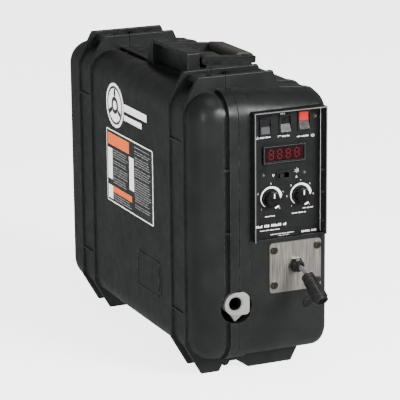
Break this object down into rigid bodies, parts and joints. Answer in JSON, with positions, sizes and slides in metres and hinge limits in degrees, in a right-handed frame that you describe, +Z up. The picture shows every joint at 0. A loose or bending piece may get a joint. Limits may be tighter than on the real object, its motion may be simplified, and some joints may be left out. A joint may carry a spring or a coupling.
{
  "type": "wire feeder",
  "caption": "Portable suitcase wire feeder: hinged moulded case with folding handle, hooded control panel, gun outlet, trigger lead, geared roll drive and wire spool.",
  "frame": {"origin": "centre of the bottom of the object's box, on the surface the feet rest on", "axes": "+Z up, -Y out of the control panel, +X to the right seen from the front; the door is on -X"},
  "size_m": [0.2106, 0.5957, 0.447],
  "materials": {
    "case_plastic": "moulded, fine grain",
    "black_plastic": "satin",
    "gloss_black": "smooth",
    "red_plastic": "smooth",
    "grip_rubber": "soft",
    "black_rubber": "matte",
    "panel_paint": "satin black",
    "stainless": "brushed",
    "zinc_steel": "zinc plated",
    "black_steel": "blackened",
    "cast_alloy": "as cast",
    "brass": "turned",
    "copper_wire": "copper-coated steel wire",
    "display_red": "tinted filter",
    "lamp_lens": "clear",
    "board_green": "laminate",
    "spool_plastic": "moulded",
    "lead_jacket": "grey jacket",
    "hose_rubber": "hose",
    "label_print": "printed film",
    "motor_paint": "satin"
  },
  "bodies": {
    "base": {"base_shell": "case_plastic", "case_seal": "black_rubber", "pivot_pins": "black_steel", "control_panel": "panel_paint", "guard_rivets": "zinc_steel", "switch_frames": "black_plastic", "display_bezel": "gloss_black", "display_window": "display_red", "potentiometers": "zinc_steel", "indicator_lamps": "lamp_lens", "control_boards": "board_green", "connector_plate": "stainless", "plate_screws": "black_steel", "cable_gland": "black_plastic", "control_lead": "lead_jacket", "control_plug": "black_rubber", "hole_plug": "black_plastic", "gun_block": "cast_alloy", "bulkhead": "zinc_steel", "bulkhead_fixings": "zinc_steel", "drive_housing": "cast_alloy", "shaft_bearing": "zinc_steel", "wire_guides": "brass", "feed_wire": "copper_wire", "gearbox": "motor_paint", "drive_motor": "motor_paint", "spool_shaft": "zinc_steel", "contactor": "gloss_black", "gas_valve": "brass", "gas_hose": "hose_rubber", "gas_fitting": "brass", "weld_connector": "black_rubber", "rear_plate": "stainless"},
    "door": {"door_shell": "case_plastic", "latch_pins": "zinc_steel", "side_labels": "label_print"},
    "front_latch": {"front_latch": "black_plastic"},
    "rear_latch": {"rear_latch": "black_plastic"},
    "handle": {"handle_bail": "black_plastic", "handle_grip": "grip_rubber"},
    "purge_rocker": {"purge_rocker": "gloss_black"},
    "hold_rocker": {"hold_rocker": "gloss_black"},
    "power_rocker": {"power_rocker": "red_plastic"},
    "mode_slider": {"slider_knob": "black_plastic"},
    "voltage_knob": {"voltage_knob": "gloss_black"},
    "speed_knob": {"speed_knob": "gloss_black"},
    "spool": {"spool_hub": "black_plastic", "wire_spool": "spool_plastic", "wire_winding": "copper_wire"},
    "hub_nut": {"hub_nut": "black_plastic"},
    "drive_roll": {"drive_roll": "zinc_steel", "drive_gear": "zinc_steel", "drive_shaft": "zinc_steel"},
    "pressure_arm": {"pressure_arm": "cast_alloy"},
    "pressure_roll": {"pressure_roll": "zinc_steel", "pressure_gear": "zinc_steel"},
    "adjuster": {"pressure_adjuster": "zinc_steel", "adjuster_spring": "zinc_steel"},
    "adjuster_knob": {"adjuster_knob": "black_plastic"},
    "gun_lock": {"gun_lock": "black_steel"}
  },
  "joints": [
    {"name": "door_hinge", "type": "hinge", "parent": "base", "child": "door", "pos_m": [-0.04, 0, 0.011], "axis": [0, -1, 0], "range_deg": [0, 100]},
    {"name": "front_latch_hinge", "type": "hinge", "parent": "door", "child": "front_latch", "pos_m": [-0.072, -0.18625, 0.42], "axis": [0, -1, 0], "range_deg": [0, 110]},
    {"name": "rear_latch_hinge", "type": "hinge", "parent": "door", "child": "rear_latch", "pos_m": [-0.072, 0.16085, 0.42], "axis": [0, -1, 0], "range_deg": [0, 110]},
    {"name": "handle_hinge", "type": "hinge", "parent": "base", "child": "handle", "pos_m": [-0.032, -0.066, 0.434], "axis": [0, -1, 0], "range_deg": [0, 95]},
    {"name": "purge_rocker_tilt", "type": "hinge", "parent": "base", "child": "purge_rocker", "pos_m": [0.004, -0.247, 0.3592], "axis": [1, 0, 0], "range_deg": [-10, 10], "stiffness_Nm_per_rad": 0.05},
    {"name": "hold_rocker_tilt", "type": "hinge", "parent": "base", "child": "hold_rocker", "pos_m": [0.0345, -0.247, 0.36], "axis": [1, 0, 0], "range_deg": [0, 20]},
    {"name": "power_rocker_tilt", "type": "hinge", "parent": "base", "child": "power_rocker", "pos_m": [0.0636, -0.247, 0.362], "axis": [1, 0, 0], "range_deg": [0, 20]},
    {"name": "mode_slider_travel", "type": "slide", "parent": "base", "child": "mode_slider", "axis": [1, 0, 0], "range_m": [0, 0.009]},
    {"name": "voltage_knob_turn", "type": "hinge", "parent": "base", "child": "voltage_knob", "pos_m": [0.0117, -0.256, 0.2563], "axis": [0, 1, 0], "range_deg": [-150, 150]},
    {"name": "speed_knob_turn", "type": "hinge", "parent": "base", "child": "speed_knob", "pos_m": [0.0579, -0.256, 0.2563], "axis": [0, 1, 0], "range_deg": [-150, 150]},
    {"name": "spool_spin", "type": "hinge", "parent": "base", "child": "spool", "pos_m": [-0.0435, 0.084, 0.214], "axis": [1, 0, 0], "continuous": true},
    {"name": "hub_nut_turn", "type": "hinge", "parent": "spool", "child": "hub_nut", "pos_m": [-0.093, 0.084, 0.214], "axis": [1, 0, 0], "range_deg": [0, 330]},
    {"name": "drive_roll_spin", "type": "hinge", "parent": "base", "child": "drive_roll", "pos_m": [-0.0455, -0.15, 0.09035], "axis": [1, 0, 0], "continuous": true},
    {"name": "pressure_arm_lift", "type": "hinge", "parent": "base", "child": "pressure_arm", "pos_m": [-0.0245, -0.195, 0.111], "axis": [1, 0, 0], "range_deg": [0, 40]},
    {"name": "pressure_roll_spin", "type": "hinge", "parent": "pressure_arm", "child": "pressure_roll", "pos_m": [-0.0455, -0.15, 0.13165], "axis": [1, 0, 0], "continuous": true},
    {"name": "adjuster_swing", "type": "hinge", "parent": "pressure_arm", "child": "adjuster", "pos_m": [-0.034, -0.104, 0.146], "axis": [1, 0, 0], "range_deg": [0, 40]},
    {"name": "adjuster_knob_turn", "type": "hinge", "parent": "adjuster", "child": "adjuster_knob", "pos_m": [-0.034, -0.104, 0.183], "axis": [0, 0, 1], "range_deg": [-180, 180]},
    {"name": "gun_lock_turn", "type": "hinge", "parent": "base", "child": "gun_lock", "pos_m": [-0.076, -0.2325, 0.111], "axis": [1, 0, 0], "range_deg": [-180, 180]}
  ],
  "couplings": [
    {"joint": "pressure_roll_spin", "follows": "drive_roll_spin", "ratio": -1}
  ]
}
